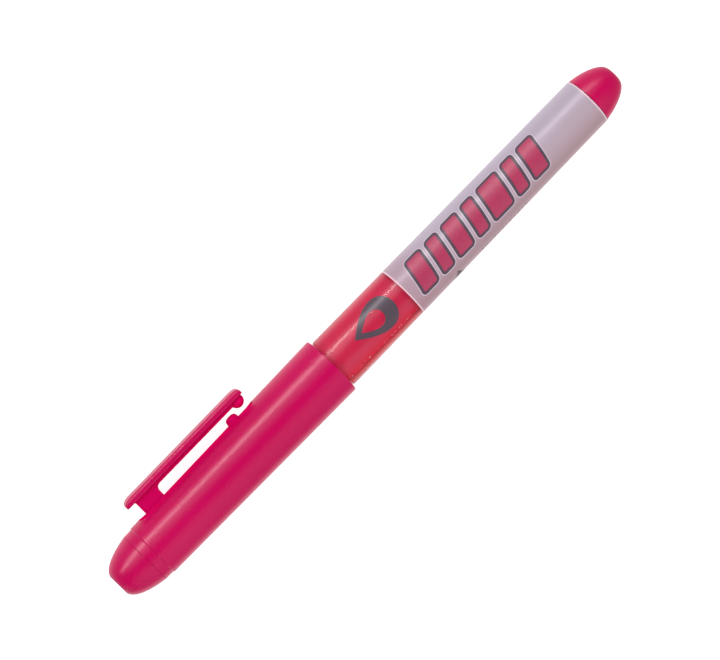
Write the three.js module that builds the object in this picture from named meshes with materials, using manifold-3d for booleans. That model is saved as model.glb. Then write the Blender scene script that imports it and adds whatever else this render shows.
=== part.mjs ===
// A capped liquid-ink highlighter, as an assembly of its separate pieces.
// Units are millimetres. The finished pen lies on its side: +X runs from the tail's flat end face,
// at the origin, towards the writing tip and the cap, -Y is the clip's side and +Z is up.
// Pieces are drawn in a pen frame whose +Y is the pen's axis and whose +X is the clip's side;
// the group at the end turns that frame onto the finished one.
import * as THREE from 'three';
import { mergeVertices } from 'three/addons/utils/BufferGeometryUtils.js';
import Module from 'manifold-3d';

const wasm = await Module();
wasm.setup();

// ---- driving dimensions ----
const penLength = 137; // tail face to cap tip, cap on
const capLength = 58.5; // cap tip to cap rim
const neckRadius = 5.3; // barrel neck that the cap slides over

// facets round the axis
const outerFacets = 36;
const innerFacets = 20;

// fits
const capClearance = 0.15; // cap bore over the neck, radial
const fitGap = 0.1; // between pieces pushed together
const seatGap = 0.3; // between faces that meet end to end
const liquidGap = 0.12; // ink to the wall around it

// barrel
const shoulderStep = 0.36; // barrel over its neck, radial
const shoulderChamfer = 0.3;
const neckLength = 8;
const neckWall = 0.85;
const beadHeight = 0.1; // ring that the cap clicks over
const beadLength = 1.4;
const beadSetback = 5; // shoulder to the middle of the bead
const tailRadius = 5.3; // barrel at its tail end
const tailWall = 0.95;

// tail plug
const plugDomeLength = 7.1;
const plugBaseRadius = 5.2;
const plugFaceRadius = 1.7; // flat end face
const plugSpigotLength = 6;
const plugWall = 1.1;
const plugRibHeight = 0.06;

// printed film round the barrel, flush in a shallow seat
const filmThickness = 0.1;
const filmStandOff = 0.03;
const filmEndGap = 0.1;
const windowLength = 19.25; // clear barrel between the shoulder and the film
const filmTailMargin = 0.3; // bare barrel between the film and the tail plug

// ink
const inkHeadspace = 1.5; // ink to the tail plug's spigot
const rodClearance = 0.15; // round the feed rod

// front section
const spigotLength = 6; // inside the neck
const spigotWall = 0.85;
const flangeLength = 1;
const flangeInset = 0.05; // flange below the neck's surface
const gripStep = 0.2; // grip below the flange, radial
const gripWall = 0.95; // at the grip's slim end
const gripLength = 11.2;
const noseShoulder = 4;
const noseLength = 4.6; // the land that the inner cap seals on, and its rounded end
const noseWall = 1.05;
const noseRounding = 1.2;
const noseEndStep = 0.6; // nose's end face inside its land, radial

// ink collector
const finCount = 12;
const finThickness = 0.6;
const hubRadius = 1.8;
const collectorInset = 0.5; // spigot end to the first fin
const ventWidth = 0.6;
const ventDepth = 1.2;

// feed rod and nib
const rodRadius = 0.9;
const rodIntoInk = 5.5;
const nibRadius = 2.0;
const nibProtrusion = 6.6; // past the nib holder
const chiselLength = 4.4;
const chiselThickness = 1.3; // at the writing edge
const chiselAngle = 32; // degrees, oblique cut
const holderWall = 0.55;
const holderFlangeLength = 0.8;
const holderFlangeInset = 0.15; // holder's flange inside the nose's end face

// cap
const capWall = 1.05;
const capRimRounding = 0.35;
const capEndWall = 0.94;
const collarLength = 2.1; // reduced end of the cap body, next to the crown
const collarStep = 0.18;
const capMouthLength = 10; // straight bore that runs on the neck
const capMouthStep = 0.15;
const crownLength = 7.2;
const crownStep = 0.03; // crown inside the collar, radial
const crownFaceInset = 3.41; // flat tip inside the crown's base, radial
const crownWall = 1.2;
const crownSpigotLength = 4.4;

// inner cap
const linerWall = 0.65;
const linerRoom = 0.15; // nose to the inner cap's wall behind its lip
const linerClearance = 0.15; // inner cap to the cap's bore
const linerFlangeLength = 1;
const linerLipLength = 1.2;
const linerOverlap = 3; // open end along the nose's land
const sealClearance = 0.06;

// clip
const clipGap = 2.56; // pocket floor to the clip's rib, half way along
const clipPlateThickness = 1.45;
const clipWidth = 4.1;
const clipEdgeRounding = 0.55;
const clipRibDepth = 0.85;
const clipRibWidth = 2.0;
const clipLength = 31.15;
const clipSetback = 11.5; // cap tip to the clip's end
const clipOverhang = 1.9; // clip past the post, towards the cap tip
const postLength = 5.0;
const postFillet = 1.0;
const ballRadius = 1.43;
const ballDrop = 0.58; // ball centre below the plate's underside
const ballSetback = 1.85; // free end to the ball's centre
const hingeGap = 0.3; // between the clip's root and its arm
const nubRadius = 1.45;
const nubHeight = 1.65; // its dome, before the flat
const nubFromBall = 3.15; // ball to nub, along the pen
const nubFlat = 0.12; // taken off the nub's top

// pocket in the cap below the clip
const pocketDepth = 0.46;
const pocketWidth = 4.8;
const pocketMarginRim = 0.15; // past the clip's free end

// ---- stations along the pen, measured from the tail face ----
const rimAt = penLength - capLength;
const shoulderAt = rimAt - seatGap;
const mouthAt = shoulderAt + neckLength;
const barrelTailAt = plugDomeLength + fitGap;
const plugSpigotEndAt = plugDomeLength + plugSpigotLength;
const filmFromAt = barrelTailAt + filmTailMargin;
const filmToAt = shoulderAt - windowLength;
const plugSeatAt = plugSpigotEndAt + seatGap;
const spigotEndAt = mouthAt - spigotLength;
const spigotSeatAt = spigotEndAt - seatGap;
const flangeAt = mouthAt + fitGap;
const gripAt = flangeAt + flangeLength;
const gripEndAt = gripAt + gripLength;
const landAt = gripEndAt + noseShoulder;
const noseEndAt = landAt + noseLength;
const collectorAt = spigotEndAt + collectorInset;
const collectorEndAt = gripEndAt + 0.5 * noseShoulder;
const nibRearAt = collectorEndAt + 2 * seatGap;
const holderFlangeAt = noseEndAt + fitGap;
const holderEndAt = holderFlangeAt + holderFlangeLength;
const nibTipAt = holderEndAt + nibProtrusion;
const inkFrontAt = spigotEndAt - seatGap;
const rodRearAt = inkFrontAt - rodIntoInk;
const crownAt = penLength - crownLength;
const collarAt = crownAt - collarLength;
const linerOpenAt = noseEndAt - linerOverlap;
const linerClosedAt = crownAt - crownSpigotLength - seatGap;
const clipEndAt = penLength - clipSetback;
const clipFreeAt = clipEndAt - clipLength;
const postEndAt = clipEndAt - clipOverhang;
const postStartAt = postEndAt - postLength;
const clipHingeAt = postStartAt - postFillet - hingeGap / 2;
const ballAt = clipFreeAt + ballSetback;
const nubAt = ballAt + nubFromBall;

// ---- radii and heights that follow ----
const shoulderRadius = neckRadius + shoulderStep;
const mouthBoreRadius = neckRadius - neckWall;
const tailBoreRadius = tailRadius - tailWall;
const spigotRadius = mouthBoreRadius - fitGap;
const collectorBoreRadius = spigotRadius - spigotWall;
const finRadius = collectorBoreRadius - fitGap;
const rodBoreRadius = rodRadius + rodClearance;
const holderBoreRadius = nibRadius + fitGap;
const holderRadius = holderBoreRadius + holderWall;
const holderSeatRadius = holderRadius + fitGap;
const gripStartRadius = neckRadius - flangeInset - gripStep;
const gripEndRadius = collectorBoreRadius + gripWall;
const noseRadius = holderSeatRadius + noseWall;
const noseEndRadius = noseRadius - noseEndStep;
const linerBoreRadius = noseRadius + linerRoom;
const linerRadius = linerBoreRadius + linerWall;
const capEndBoreRadius = linerRadius + linerClearance;
const collarRadius = capEndBoreRadius + capEndWall;
const crownBaseRadius = collarRadius - crownStep;
const capBoreRadius = neckRadius + capClearance;
const capRimRadius = capBoreRadius + capWall;
const capBodyEndRadius = collarRadius + collarStep;
const capTaper = (capRimRadius - capBodyEndRadius) / (collarAt - rimAt);
const capRadiusAt = (at) => capRimRadius - capTaper * (at - rimAt);
const pocketMiddleAt = (clipEndAt + clipFreeAt - pocketMarginRim) / 2;
const pocketFloor = (at) => capRadiusAt(at) - pocketDepth;
const clipRibHeight = pocketFloor(pocketMiddleAt) + clipGap;
const clipPlateHeight = clipRibHeight + clipRibDepth;
const clipTopHeight = clipPlateHeight + clipPlateThickness;

// ---- small tools ----
const pt = (radius, at) => new THREE.Vector2(radius, at);

// A closed outline of (radius, station) points turned about the pen's axis.
function turned(outline, facets) {
  const points = [...outline];
  if (points[0].x > 0) points.push(points[0].clone());
  return new THREE.LatheGeometry(points, facets);
}

function solidOf(geometry) {
  const bare = geometry.index ? geometry.clone() : geometry;
  bare.deleteAttribute('normal');
  bare.deleteAttribute('uv');
  const merged = mergeVertices(bare, 1e-4);
  return new wasm.Manifold(
    new wasm.Mesh({
      numProp: 3,
      vertProperties: merged.attributes.position.array,
      triVerts: new Uint32Array(merged.index.array),
    }),
  );
}

function geometryOf(solid) {
  const mesh = solid.getMesh();
  const geometry = new THREE.BufferGeometry();
  geometry.setAttribute('position', new THREE.BufferAttribute(mesh.vertProperties, 3));
  geometry.setIndex(new THREE.BufferAttribute(mesh.triVerts, 1));
  return geometry;
}

// A side outline of (height, station) points, as a slab of the given width centred on the pen's plane.
function slab(shape, width, curveSegments = 6) {
  const geometry = new THREE.ExtrudeGeometry(shape, { depth: width, bevelEnabled: false, curveSegments });
  return geometry.translate(0, 0, -width / 2);
}

function box(heightLow, heightHigh, from, to, width) {
  const geometry = new THREE.BoxGeometry(heightHigh - heightLow, to - from, width);
  return geometry.translate((heightLow + heightHigh) / 2, (from + to) / 2, 0);
}

function bezierPoints(p0, p1, p2, p3, steps) {
  return new THREE.CubicBezierCurve(p0, p1, p2, p3).getPoints(steps);
}

// A quarter round between two points of an outline, convex, with its corner at the given point.
function quarterRound(from, corner, to, steps = 3) {
  return new THREE.QuadraticBezierCurve(from, corner, to).getPoints(steps);
}

// ---- materials ----
function plastic(color, roughness = 0.35, extra = {}) {
  return new THREE.MeshStandardMaterial({ color, roughness, metalness: 0, ...extra });
}
const capPink = plastic(0xcb0f5b, 0.3);
const plugPink = plastic(0xcb0a54, 0.3);
const clearPlastic = plastic(0xf2e9ec, 0.08, { transparent: true, opacity: 0.35 });
const film = plastic(0xbfafc0, 0.4);
const inkRed = plastic(0xd42f52, 0.1);
const whitePlastic = plastic(0xeeeae6, 0.4);
const linerPlastic = plastic(0xe9dfe2, 0.5);
const fibre = plastic(0xe8869e, 0.9);
const nibFibre = plastic(0xe0386b, 0.95);

// ---- pieces of the pen ----

// The barrel narrows evenly from the shoulder to the tail. Its bore does so between two straight seats,
// one for the front section's spigot and one for the tail plug's.
function barrelRadiusAt(at) {
  const share = (at - barrelTailAt) / (shoulderAt - shoulderChamfer - barrelTailAt);
  return tailRadius + (shoulderRadius - tailRadius) * share;
}

function boreRadiusAt(at) {
  const share = (at - plugSeatAt) / (spigotSeatAt - plugSeatAt);
  return tailBoreRadius + (mouthBoreRadius - tailBoreRadius) * THREE.MathUtils.clamp(share, 0, 1);
}

const filmSeatRadiusAt = (at) => barrelRadiusAt(at) - filmThickness - filmStandOff;

function makeBarrel() {
  const beadAt = shoulderAt + beadSetback;
  return turned(
    [
      pt(tailBoreRadius, barrelTailAt),
      pt(tailRadius, barrelTailAt),
      pt(barrelRadiusAt(filmFromAt - filmEndGap), filmFromAt - filmEndGap),
      pt(filmSeatRadiusAt(filmFromAt - filmEndGap), filmFromAt - filmEndGap),
      pt(filmSeatRadiusAt(filmToAt + filmEndGap), filmToAt + filmEndGap),
      pt(barrelRadiusAt(filmToAt + filmEndGap), filmToAt + filmEndGap),
      pt(shoulderRadius, shoulderAt - shoulderChamfer),
      pt(shoulderRadius - shoulderChamfer, shoulderAt),
      pt(neckRadius, shoulderAt),
      pt(neckRadius, beadAt - beadLength / 2),
      pt(neckRadius + beadHeight, beadAt),
      pt(neckRadius, beadAt + beadLength / 2),
      pt(neckRadius, mouthAt),
      pt(mouthBoreRadius, mouthAt),
      pt(mouthBoreRadius, spigotSeatAt),
      pt(tailBoreRadius, plugSeatAt),
    ],
    outerFacets,
  );
}

function makeTailPlug() {
  const spigot = tailBoreRadius - fitGap;
  const hollow = spigot - plugWall;
  const ribSpan = plugSpigotLength / 6;
  const dome = bezierPoints(
    pt(plugFaceRadius, 0),
    pt(plugBaseRadius - 2, 0.15),
    pt(plugBaseRadius - 0.5, plugDomeLength * 0.44),
    pt(plugBaseRadius, plugDomeLength),
    7,
  );
  const ribs = [1, 2].flatMap((n) => {
    const at = plugDomeLength + (n * plugSpigotLength) / 3;
    return [pt(spigot, at - ribSpan / 2), pt(spigot + plugRibHeight, at), pt(spigot, at + ribSpan / 2)];
  });
  return turned(
    [
      pt(0, 0),
      ...dome,
      pt(spigot, plugDomeLength),
      ...ribs,
      pt(spigot - 0.3, plugSpigotEndAt),
      pt(hollow, plugSpigotEndAt),
      pt(hollow, plugDomeLength * 0.6),
      pt(hollow * 0.6, plugWall * 1.6),
      pt(0, plugWall * 1.3),
    ],
    outerFacets,
  );
}

function makeFilm() {
  return turned(
    [
      pt(barrelRadiusAt(filmFromAt) - filmThickness, filmFromAt),
      pt(barrelRadiusAt(filmFromAt), filmFromAt),
      pt(barrelRadiusAt(filmToAt), filmToAt),
      pt(barrelRadiusAt(filmToAt) - filmThickness, filmToAt),
    ],
    outerFacets,
  );
}

// The filled part of the reservoir, with a hole for the feed rod's end.
function makeInk() {
  const from = plugSpigotEndAt + inkHeadspace;
  return turned(
    [
      pt(0, from),
      pt(boreRadiusAt(from) - liquidGap, from),
      pt(boreRadiusAt(inkFrontAt) - liquidGap, inkFrontAt),
      pt(rodBoreRadius, inkFrontAt),
      pt(rodBoreRadius, rodRearAt - seatGap),
      pt(0, rodRearAt - seatGap),
    ],
    outerFacets,
  );
}

function makeFrontSection() {
  const flangeRadius = neckRadius - flangeInset;
  const rounded = quarterRound(
    pt(noseRadius, noseEndAt - noseRounding),
    pt(noseRadius, noseEndAt - noseRounding * 0.25),
    pt(noseEndRadius, noseEndAt),
  );
  const shoulder = bezierPoints(
    pt(gripEndRadius, gripEndAt),
    pt(gripEndRadius - 0.12, gripEndAt + noseShoulder * 0.4),
    pt(noseRadius, landAt - noseShoulder * 0.4),
    pt(noseRadius, landAt),
    5,
  );
  return turned(
    [
      pt(collectorBoreRadius, spigotEndAt),
      pt(spigotRadius, spigotEndAt),
      pt(spigotRadius, flangeAt),
      pt(flangeRadius, flangeAt),
      pt(flangeRadius, gripAt),
      pt(gripStartRadius, gripAt + fitGap),
      ...shoulder,
      ...rounded,
      pt(holderSeatRadius, noseEndAt),
      pt(holderSeatRadius, collectorEndAt + 2 * seatGap),
      pt(collectorBoreRadius, collectorEndAt + seatGap),
    ],
    outerFacets,
  );
}

// A hub with a comb of thin fins, and one narrow channel cut down their length.
function makeCollector() {
  const length = collectorEndAt - collectorAt;
  const pitch = (length - finThickness) / (finCount - 1);
  const fins = Array.from({ length: finCount }, (_, n) => {
    const at = collectorAt + n * pitch;
    const fin = [pt(finRadius, at), pt(finRadius, at + finThickness)];
    if (n > 0) fin.unshift(pt(hubRadius, at));
    if (n < finCount - 1) fin.push(pt(hubRadius, at + finThickness));
    return fin;
  }).flat();
  const ends = [pt(rodBoreRadius, collectorAt), pt(rodBoreRadius, collectorEndAt)];
  const comb = turned([ends[0], ...fins, ends[1]], innerFacets);
  const channel = box(finRadius - ventDepth, finRadius + 1, collectorAt - 1, collectorEndAt + 1, ventWidth);
  return geometryOf(solidOf(comb).subtract(solidOf(channel)));
}

function makeFeedRod() {
  const to = nibRearAt - seatGap;
  return turned([pt(0, rodRearAt), pt(rodRadius, rodRearAt), pt(rodRadius, to), pt(0, to)], innerFacets);
}

function makeNibHolder() {
  return turned(
    [
      pt(holderBoreRadius, nibRearAt + seatGap),
      pt(holderRadius, nibRearAt + seatGap),
      pt(holderRadius, holderFlangeAt),
      pt(noseEndRadius - holderFlangeInset, holderFlangeAt),
      pt(noseEndRadius - holderFlangeInset - 0.35, holderEndAt),
      pt(holderBoreRadius, holderEndAt),
    ],
    innerFacets,
  );
}

// A round fibre rod whose end is thinned to a chisel and cut off at a slant.
function makeNib() {
  const rod = turned(
    [pt(0, nibRearAt), pt(nibRadius, nibRearAt), pt(nibRadius, nibTipAt), pt(0, nibTipAt)],
    innerFacets,
  );
  const reach = 2 * nibRadius;
  const chiselAt = nibTipAt - chiselLength;
  const cheek = new THREE.Shape([
    pt(chiselThickness / 2, nibTipAt),
    pt(nibRadius, chiselAt),
    pt(reach, chiselAt),
    pt(reach, nibTipAt + 1),
    pt(chiselThickness / 2, nibTipAt + 1),
  ]);
  // the cheeks are flat across the clip's direction, so the edge runs along it
  const near = slab(cheek, 2 * reach).rotateY(Math.PI / 2);
  const far = near.clone().rotateY(Math.PI);
  const drop = 2 * reach * Math.tan(THREE.MathUtils.degToRad(chiselAngle));
  const slant = new THREE.Shape([
    pt(-nibRadius, nibTipAt),
    pt(-nibRadius + 2 * reach, nibTipAt - drop),
    pt(-nibRadius + 2 * reach, nibTipAt + 1),
    pt(-nibRadius, nibTipAt + 1),
  ]);
  const cut = solidOf(near).add(solidOf(far)).add(solidOf(slab(slant, 2 * reach)));
  return geometryOf(solidOf(rod).subtract(cut));
}

// ---- pieces of the cap ----

// Outline of the clip seen from the side: plate, rib below it, and rounded ends.
function clipSideShape() {
  const shape = new THREE.Shape();
  const top = clipTopHeight;
  const plate = clipPlateHeight;
  const rib = clipRibHeight;
  const endDrop = clipPlateThickness * 0.45;
  shape.moveTo(plate, clipEndAt);
  shape.lineTo(top - endDrop, clipEndAt);
  shape.quadraticCurveTo(top, clipEndAt - 0.6, top, clipEndAt - clipOverhang);
  shape.lineTo(top, ballAt);
  shape.quadraticCurveTo(top, clipFreeAt + 0.5, top - endDrop, clipFreeAt);
  shape.lineTo(plate, clipFreeAt);
  shape.lineTo(rib, ballAt);
  shape.lineTo(rib, postStartAt - postFillet);
  shape.lineTo(rib, postEndAt);
  shape.lineTo(plate, postEndAt);
  return shape;
}

// Cross-section of the clip: a plate with rounded outer edges over a narrow rib.
function clipSection() {
  const half = clipWidth / 2;
  const rib = clipRibWidth / 2;
  const round = clipEdgeRounding;
  const shape = new THREE.Shape();
  shape.moveTo(clipRibHeight - 1, -rib);
  shape.lineTo(clipPlateHeight, -rib);
  shape.lineTo(clipPlateHeight, -half);
  shape.lineTo(clipTopHeight - round, -half);
  shape.quadraticCurveTo(clipTopHeight, -half, clipTopHeight, -half + round);
  shape.lineTo(clipTopHeight, half - round);
  shape.quadraticCurveTo(clipTopHeight, half, clipTopHeight - round, half);
  shape.lineTo(clipPlateHeight, half);
  shape.lineTo(clipPlateHeight, rib);
  shape.lineTo(clipRibHeight - 1, rib);
  return shape;
}

function makeClipBar() {
  const length = clipLength + 2;
  const sweep = { depth: length, bevelEnabled: false, curveSegments: 3 };
  const bar = new THREE.ExtrudeGeometry(clipSection(), sweep);
  // the section is drawn in (height, width) and is swept along the pen's axis
  bar.rotateX(Math.PI / 2).translate(0, clipEndAt + 1, 0);
  return solidOf(bar).intersect(solidOf(slab(clipSideShape(), clipWidth + 2)));
}

function makeClipArm() {
  const ball = new THREE.SphereGeometry(ballRadius, 16, 10).translate(clipPlateHeight - ballDrop, ballAt, 0);
  const armEnd = clipHingeAt - hingeGap / 2;
  const ownSide = box(0, clipTopHeight + 5, clipFreeAt - 1, armEnd, clipWidth + 2);
  const belowTop = box(0, clipPlateHeight + fitGap, clipFreeAt - 1, armEnd, clipWidth + 2);
  const arm = makeClipBar().intersect(solidOf(ownSide));
  return geometryOf(arm.add(solidOf(ball).intersect(solidOf(belowTop))));
}

// Post below the clip's root, with a round where it meets the clip.
function postShape(foot) {
  const shape = new THREE.Shape();
  const rib = clipRibHeight;
  shape.moveTo(foot, postEndAt);
  shape.lineTo(rib + clipRibDepth, postEndAt);
  shape.lineTo(rib + clipRibDepth, postStartAt - postFillet);
  shape.lineTo(rib, postStartAt - postFillet);
  shape.quadraticCurveTo(rib, postStartAt, rib - postFillet, postStartAt);
  shape.lineTo(foot, postStartAt);
  return shape;
}

// The flat-floored pocket under the clip, round-ended as seen from outside.
function makePocketCutter() {
  const half = pocketWidth / 2;
  const from = clipFreeAt - pocketMarginRim + half;
  const to = clipEndAt - half;
  const outline = new THREE.Shape();
  outline.absarc(0, to, half, 0, Math.PI);
  outline.absarc(0, from, half, Math.PI, 2 * Math.PI);
  const cutter = new THREE.ExtrudeGeometry(outline, { depth: 5, bevelEnabled: false, curveSegments: 10 });
  // drawn in (width, station) and sunk from above: lay it with its depth along the clip's height
  cutter.rotateY(Math.PI / 2);
  cutter.translate(0, -pocketMiddleAt, 0).rotateZ(Math.atan(capTaper));
  return solidOf(cutter.translate(pocketFloor(pocketMiddleAt), pocketMiddleAt, 0));
}

function makeCapShell() {
  const boreEnd = rimAt + capMouthLength;
  const rim = quarterRound(
    pt(capRimRadius - capRimRounding, rimAt),
    pt(capRimRadius, rimAt),
    pt(capRadiusAt(rimAt + capRimRounding), rimAt + capRimRounding),
  );
  const shell = turned(
    [
      pt(capBoreRadius, rimAt),
      ...rim,
      pt(capBodyEndRadius, collarAt),
      pt(collarRadius, collarAt + collarStep),
      pt(crownBaseRadius, crownAt),
      pt(capEndBoreRadius, crownAt),
      pt(capBoreRadius - capMouthStep, boreEnd + capMouthStep),
      pt(capBoreRadius, boreEnd),
    ],
    outerFacets,
  );
  const nubFoot = pocketFloor(nubAt);
  const nubTop = nubFoot + nubHeight - nubFlat;
  const nub = new THREE.SphereGeometry(nubRadius, 16, 10);
  nub.scale(nubHeight / nubRadius, 1, 1).translate(nubFoot, nubAt, 0);
  const nubRoom = box(nubFoot - 0.4, nubTop, nubAt - nubRadius, nubAt + nubRadius, 2 * nubRadius);
  const rootSide = box(0, clipTopHeight + 5, clipHingeAt + hingeGap / 2, clipEndAt + 1, clipWidth + 2);
  const post = slab(postShape(pocketFloor(postStartAt) - 0.3), clipRibWidth);
  const solid = solidOf(shell)
    .subtract(makePocketCutter())
    .add(solidOf(nub).intersect(solidOf(nubRoom)))
    .add(solidOf(post))
    .add(makeClipBar().intersect(solidOf(rootSide)));
  return geometryOf(solid);
}

function makeCrown() {
  const spigot = capEndBoreRadius - fitGap;
  const hollow = spigot - crownWall * 0.8;
  const from = crownAt - crownSpigotLength;
  const seat = crownAt + fitGap;
  const tip = penLength;
  const dome = bezierPoints(
    pt(crownBaseRadius, seat),
    pt(crownBaseRadius - 0.56, tip - crownLength / 2),
    pt(crownBaseRadius - 1.6, tip - 0.5),
    pt(crownBaseRadius - crownFaceInset, tip),
    7,
  );
  return turned(
    [
      pt(0, tip - crownWall * 1.4),
      pt(hollow * 0.6, tip - crownWall * 1.8),
      pt(hollow, crownAt + crownLength * 0.3),
      pt(hollow, from),
      pt(spigot, from),
      pt(spigot, seat),
      ...dome,
      pt(0, tip),
    ],
    outerFacets,
  );
}

function makeInnerCap() {
  const lip = noseRadius + sealClearance;
  const flange = linerRadius + fitGap;
  const floor = linerClosedAt - linerWall;
  return turned(
    [
      pt(0, floor),
      pt(linerBoreRadius, floor),
      pt(linerBoreRadius, linerOpenAt + 2 * linerLipLength),
      pt(lip, linerOpenAt + linerLipLength),
      pt(lip, linerOpenAt),
      pt(linerRadius, linerOpenAt),
      pt(linerRadius, linerClosedAt - linerFlangeLength),
      pt(flange, linerClosedAt - linerFlangeLength),
      pt(flange, linerClosedAt),
      pt(0, linerClosedAt),
    ],
    innerFacets,
  );
}

// ---- assembly ----
function named(name, geometry, material) {
  const mesh = new THREE.Mesh(geometry, material);
  mesh.name = name;
  return mesh;
}

const barrelGroup = new THREE.Group();
barrelGroup.add(
  named('barrel', makeBarrel(), clearPlastic),
  named('tail_plug', makeTailPlug(), plugPink),
  named('barrel_film', makeFilm(), film),
  named('ink', makeInk(), inkRed),
  named('front_section', makeFrontSection(), clearPlastic),
  named('ink_collector', makeCollector(), whitePlastic),
  named('feed_rod', makeFeedRod(), fibre),
  named('nib_holder', makeNibHolder(), whitePlastic),
  named('nib', makeNib(), nibFibre),
);

const capGroup = new THREE.Group();
capGroup.add(
  named('cap_shell', makeCapShell(), capPink),
  named('cap_crown', makeCrown(), capPink),
  named('inner_cap', makeInnerCap(), linerPlastic),
  named('clip_arm', makeClipArm(), capPink),
);

const pen = new THREE.Group();
pen.add(barrelGroup, capGroup);
pen.rotation.z = -Math.PI / 2;

const highlighter = new THREE.Group();
highlighter.add(pen);

export default highlighter;
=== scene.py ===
import math
import bmesh
import bpy
import numpy as np
from mathutils import Matrix, Vector


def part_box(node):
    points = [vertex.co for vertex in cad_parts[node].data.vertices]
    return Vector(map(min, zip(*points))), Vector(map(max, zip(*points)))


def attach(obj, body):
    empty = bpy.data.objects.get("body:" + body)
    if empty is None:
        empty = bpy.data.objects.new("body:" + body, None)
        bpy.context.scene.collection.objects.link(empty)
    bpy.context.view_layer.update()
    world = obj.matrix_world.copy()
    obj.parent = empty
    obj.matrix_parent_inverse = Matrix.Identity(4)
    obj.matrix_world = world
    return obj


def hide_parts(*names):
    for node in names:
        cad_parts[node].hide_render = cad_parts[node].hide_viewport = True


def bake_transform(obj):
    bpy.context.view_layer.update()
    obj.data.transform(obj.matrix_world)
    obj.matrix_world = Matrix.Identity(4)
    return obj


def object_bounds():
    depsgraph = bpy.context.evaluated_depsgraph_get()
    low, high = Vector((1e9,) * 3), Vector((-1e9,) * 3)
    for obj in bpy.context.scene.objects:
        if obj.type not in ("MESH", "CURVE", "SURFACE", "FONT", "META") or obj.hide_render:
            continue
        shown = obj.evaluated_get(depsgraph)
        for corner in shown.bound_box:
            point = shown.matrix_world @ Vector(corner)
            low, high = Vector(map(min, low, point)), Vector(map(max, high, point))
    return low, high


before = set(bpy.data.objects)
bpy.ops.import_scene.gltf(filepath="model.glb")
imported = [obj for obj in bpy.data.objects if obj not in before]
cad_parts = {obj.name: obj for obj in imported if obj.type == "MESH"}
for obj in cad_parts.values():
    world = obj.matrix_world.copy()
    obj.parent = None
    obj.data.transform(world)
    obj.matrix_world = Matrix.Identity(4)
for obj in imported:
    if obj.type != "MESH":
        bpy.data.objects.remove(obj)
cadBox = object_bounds()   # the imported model's own box
scene = bpy.context.scene
mm = 0.001             # shapes below are worked out in millimetres
print("frame loaded,", len(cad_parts), "nodes")

# The pen lies along X, from its tail at 0 to the cap's tip. Angles round it start at the clip, on -Y,
# and go up over Z. A station is a distance from the tail, and a height is a distance from the axis.


def span(node):
    low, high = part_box(node)
    return low.x / mm, high.x / mm, high.z / mm   # first station, last station, greatest radius


plugFrom, plugTo, plugRadius = span("tail_plug")
barrelFrom, mouthAt, shoulderRadius = span("barrel")
filmFrom, filmTo, _ = span("barrel_film")
inkFrom, inkTo, inkRadius = span("ink")
sectionFrom, noseEnd, flangeRadius = span("front_section")
combFrom, combTo, combRadius = span("ink_collector")
rodFrom, rodTo, rodRadius = span("feed_rod")
holderFrom, holderTo, holderRadius = span("nib_holder")
nibFrom, nibTip, nibRadius = span("nib")
rimAt, crownAt, capRimRadius = span("cap_shell")
crownSpigotFrom, capTip, crownRadius = span("cap_crown")
linerFrom, linerTo, linerRadius = span("inner_cap")
clipFreeAt, _, clipHalfWidth = span("clip_arm")
clipTop = -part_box("clip_arm")[0].y / mm
ballLow = -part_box("clip_arm")[1].y / mm


# A line of corners (station, radius, rounding). A rounded corner becomes an arc that meets both sides.
def roundedLine(corners, closed=True, steps=6):
    points = np.array([c[:2] for c in corners], float)
    line = []
    for i, point in enumerate(points):
        rounding = corners[i][2] if len(corners[i]) > 2 else 0
        if rounding == 0 or (not closed and i in (0, len(points) - 1)):
            line.append(point[None])
            continue
        before, after = points[i - 1] - point, points[(i + 1) % len(points)] - point
        lengths = np.linalg.norm(before), np.linalg.norm(after)
        before, after = before / lengths[0], after / lengths[1]
        half = 0.5 * math.acos(np.clip(before @ after, -1, 1))
        reach = min(rounding / math.tan(half), 0.48 * min(lengths))
        middle = (before + after) / np.linalg.norm(before + after)
        centre = point + middle * reach / math.cos(half)
        first, last = point + before * reach - centre, point + after * reach - centre
        turn = math.pi - 2 * half
        t = np.linspace(0, 1, steps + 1)[:, None]
        line.append(centre + (np.sin((1 - t) * turn) * first + np.sin(t * turn) * last) / math.sin(turn))
    return np.concatenate(line)


# A cubic curve: each end point and handle weighted by the Bernstein terms of t.
def curveLine(start, handleA, handleB, end, count=28):
    t = np.linspace(0, 1, count)[:, None]
    terms = [(1 - t) ** 3, 3 * t * (1 - t) ** 2, 3 * t ** 2 * (1 - t), t ** 3]
    return sum(term * np.array(p, float) for term, p in zip(terms, [start, handleA, handleB, end]))


# Puts (station, towards the clip, up) into the frame's X, Y and Z.
def place(station, clipSide, up):
    return np.stack(np.broadcast_arrays(station, -np.asarray(clipSide), up), -1)


# Even angles once round, without the last.
def fullTurn(count):
    return np.linspace(0, 2 * math.pi, count, endpoint=False)


# Directions all round a ball: the cosine of the angle from its axis, and the sine shared out sideways by
# the cosine and the sine of a turn about the axis.
def ballRound(rows, cols):
    polar, turn = np.linspace(0, math.pi, rows)[:, None], fullTurn(cols)
    return np.cos(polar), np.sin(polar) * np.cos(turn), np.sin(polar) * np.sin(turn)


# Quads that join a grid of points, going round again where it wraps.
def grid(points, wrapRows=False, wrapCols=True):
    rows, cols = points.shape[:2]
    i, j = np.meshgrid(np.arange(rows - (not wrapRows)), np.arange(cols - (not wrapCols)), indexing="ij")
    ni, nj = (i + 1) % rows, (j + 1) % cols
    quads = np.stack([i * cols + j, ni * cols + j, ni * cols + nj, i * cols + nj], -1)
    return points.reshape(-1, 3), quads.reshape(-1, 4)


# A line of (station, radius) carried round the axis: height is the radius times the cosine of the
# angle towards the clip, and times its sine upwards.
def turned(line, around=144, wrapRows=True):
    angle = fullTurn(around)
    station, radius = line[:, :1], line[:, 1:]
    return grid(place(station, radius * np.cos(angle), radius * np.sin(angle)), wrapRows)


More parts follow.
